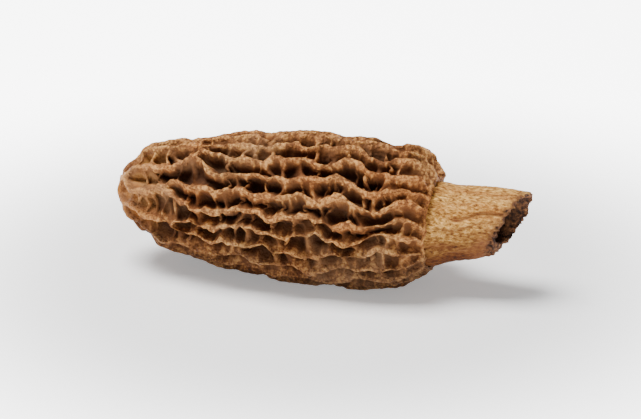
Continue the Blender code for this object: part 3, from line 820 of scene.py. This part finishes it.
flesh, tree, shader = new_material("dried stem flesh")
place = add(tree, "ShaderNodeTexCoord").outputs["Object"]
cut = add(tree, "ShaderNodeAttribute", {"attribute_name": "cut"}).outputs["Fac"]
inside = add(tree, "ShaderNodeAttribute", {"attribute_name": "inside"}).outputs["Fac"]
crease = add(tree, "ShaderNodeAttribute", {"attribute_name": "furrow"}).outputs["Fac"]
halo = add(tree, "ShaderNodeAttribute", {"attribute_name": "halo"}).outputs["Fac"]
below = add(tree, "ShaderNodeAttribute", {"attribute_name": "below"}).outputs["Fac"]

# The felt's grains are 0.2 mm wide or less on a real stem, under half a pixel, so they are drawn 0.4 mm wide
# and 0.9 mm long. The stains that run along the stem are 2 mm wide and 17 mm long.
long_place = add(tree, "ShaderNodeMapping", {"Scale": (0.42, 1, 1)}, {"Vector": place}).outputs["Vector"]
grains = add(
    tree,
    "ShaderNodeTexNoise",
    {"Scale": 2700, "Detail": 5, "Roughness": 0.72},
    {"Vector": long_place},
)
felted = add(tree, "ShaderNodeValToRGB", links={"Fac": grains.outputs["Fac"]})
set_ramp(felted, FELT_TONES)
fibres = add(tree, "ShaderNodeMapping", {"Scale": (0.12, 1, 1)}, {"Vector": place}).outputs["Vector"]
broad = add(tree, "ShaderNodeTexNoise", {"Scale": 480, "Detail": 4, "Distortion": 0.4}, {"Vector": fibres})
stains = add(tree, "ShaderNodeValToRGB", links={"Fac": broad.outputs["Fac"]})
set_ramp(stains, STAIN_TINTS)
stained = add(
    tree,
    "ShaderNodeMix",
    {"data_type": "RGBA", "blend_type": "MULTIPLY", "Factor": 0.6},
    {"A": felted.outputs["Color"], "B": stains.outputs["Color"]},
)

# Painted shade below, painted shade with some brown of their own in the creases, and brown towards the cut
shaded = add(
    tree,
    "ShaderNodeMix",
    {"data_type": "RGBA", "blend_type": "MULTIPLY", "B": linear(SHADED)},
    {"A": stained.outputs["Result"], "Factor": below},
)
# The creases get painted shade, with some brown of their own
crease_share = add(tree, "ShaderNodeMath", {"operation": "MULTIPLY", 1: CREASE_SHARE}, {0: crease})
crease_shaded = add(
    tree,
    "ShaderNodeMix",
    {"data_type": "RGBA", "B": linear(CREASE_SHADE)},
    {"A": shaded.outputs["Result"], "Factor": crease_share.outputs[0]},
)
halo_share = add(tree, "ShaderNodeMath", {"operation": "MULTIPLY", 1: HALO_SHARE}, {0: halo})
browned = add(
    tree,
    "ShaderNodeMix",
    {"data_type": "RGBA", "B": linear(HALO_BROWN)},
    {"A": crease_shaded.outputs["Result"], "Factor": halo_share.outputs[0]},
)

# The bore is painted dark, as the shade inside it, and the cut is dark and crumbly. Their crumbs are drawn
# 0.8 mm wide, coarser than the real ones, which wouldn't show.
crumb = add(tree, "ShaderNodeTexNoise", {"Scale": 1300, "Detail": 4, "Roughness": 0.65}, {"Vector": place})
bore_shade = add(tree, "ShaderNodeValToRGB", links={"Fac": crumb.outputs["Fac"]})
set_ramp(bore_shade, BORE_SHADE_TONES)
hollowed = add(
    tree,
    "ShaderNodeMix",
    {"data_type": "RGBA"},
    {"A": browned.outputs["Result"], "B": bore_shade.outputs["Color"], "Factor": inside},
)
crumbled = add(tree, "ShaderNodeValToRGB", links={"Fac": crumb.outputs["Fac"]})
set_ramp(crumbled, CRUMB_TONES)
finished = add(
    tree,
    "ShaderNodeMix",
    {"data_type": "RGBA"},
    {"A": hollowed.outputs["Result"], "B": crumbled.outputs["Color"], "Factor": cut},
)
tree.links.new(finished.outputs["Result"], shader.inputs["Base Color"])
shader.inputs["Roughness"].default_value = 0.85
shader.inputs["Specular IOR Level"].default_value = 0.25
bump = add(tree, "ShaderNodeBump", {"Strength": 0.9, "Distance": 0.0002}, {"Height": grains.outputs["Fac"]})
tree.links.new(bump.outputs["Normal"], shader.inputs["Normal"])
stem.data.materials.clear()
stem.data.materials.append(flesh)
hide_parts("stem")
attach(stem, "root")

# The table: one plain sheet of matt white paper, far wider than the mushroom. It glows as painted light,
# which brings it near white and lights the mushroom too, and it glows least near the middle, a painted shadow
# round it.
TABLE_SIZE = 4
PAPER, WHITE = "#F4F4F4", (1, 1, 1, 1)
GLOW_FROM, GLOW_TO = 0.035, 0.11  # distances from the middle between which the glow grows, out of a painted shadow round the mushroom
PAINTED_SHADOW_GLOW, FAR_GLOW = 0.35, 6.0

bpy.ops.object.select_all(action="DESELECT")
bpy.ops.mesh.primitive_plane_add(size=TABLE_SIZE, location=(0, 0, 0))
table = bpy.context.active_object
table.name = "table"
paper, tree, shader = new_material("matt white paper")
shader.inputs["Base Color"].default_value = linear(PAPER)
shader.inputs["Roughness"].default_value = 0.9
shader.inputs["Emission Color"].default_value = WHITE
place = add(tree, "ShaderNodeTexCoord").outputs["Object"]
from_middle = add(tree, "ShaderNodeVectorMath", {"operation": "LENGTH"}, {"Vector": place})
# The glow is painted light, weakest near the middle as a painted shadow
glow = add(
    tree,
    "ShaderNodeMapRange",
    {
        "interpolation_type": "SMOOTHSTEP",
        "From Min": GLOW_FROM,
        "From Max": GLOW_TO,
        "To Min": PAINTED_SHADOW_GLOW,
        "To Max": FAR_GLOW,
    },
    {"Value": from_middle.outputs["Value"]},
)
tree.links.new(glow.outputs["Result"], shader.inputs["Emission Strength"])
table.data.materials.append(paper)

# Soft studio light: a square lamp above on the left, wide enough to give the mushroom's shadow a soft edge,
# and an even white room that fills the shaded side.
ROOM_LIGHT = 0.24
KEY_SIZE, KEY_POWER = 0.24, 4.5
KEY_PLACE, KEY_TARGET = (-0.14, -0.02, 0.44), (0, 0, 0.01)

room = bpy.data.worlds.new("white room")
room.use_nodes = True
room.node_tree.nodes["Background"].inputs["Color"].default_value = WHITE
room.node_tree.nodes["Background"].inputs["Strength"].default_value = ROOM_LIGHT
bpy.context.scene.world = room


def aim(thing, place, target):
    """Puts a lamp or a camera at a place and turns it to the target."""
    thing.location = place
    thing.rotation_euler = (Vector(place) - Vector(target)).to_track_quat("Z", "Y").to_euler()


bpy.ops.object.light_add(type="AREA")
key = bpy.context.active_object
key.name = "key"
key.data.size = KEY_SIZE
key.data.energy = KEY_POWER
aim(key, KEY_PLACE, KEY_TARGET)

# The camera looks along the mushroom's side from a little above. Its lens is long, as for a product picture,
# so that the near end isn't drawn larger than the far one.
VIEW_TURN, VIEW_RISE = math.radians(15), math.radians(21)
VIEW_DISTANCE, VIEW_LENS, VIEW_NEAREST = 0.45, 155, 0.01
VIEW_TARGET = (0.0, 0.0, 0.0115)

away = Vector(
    (
        math.sin(VIEW_TURN) * math.cos(VIEW_RISE),
        -math.cos(VIEW_TURN) * math.cos(VIEW_RISE),
        math.sin(VIEW_RISE),
    )
)
bpy.ops.object.camera_add()
camera = bpy.context.active_object
camera.name = "camera"
camera.data.lens = VIEW_LENS
camera.data.clip_start = VIEW_NEAREST
aim(camera, Vector(VIEW_TARGET) + away * VIEW_DISTANCE, VIEW_TARGET)
bpy.context.scene.camera = camera
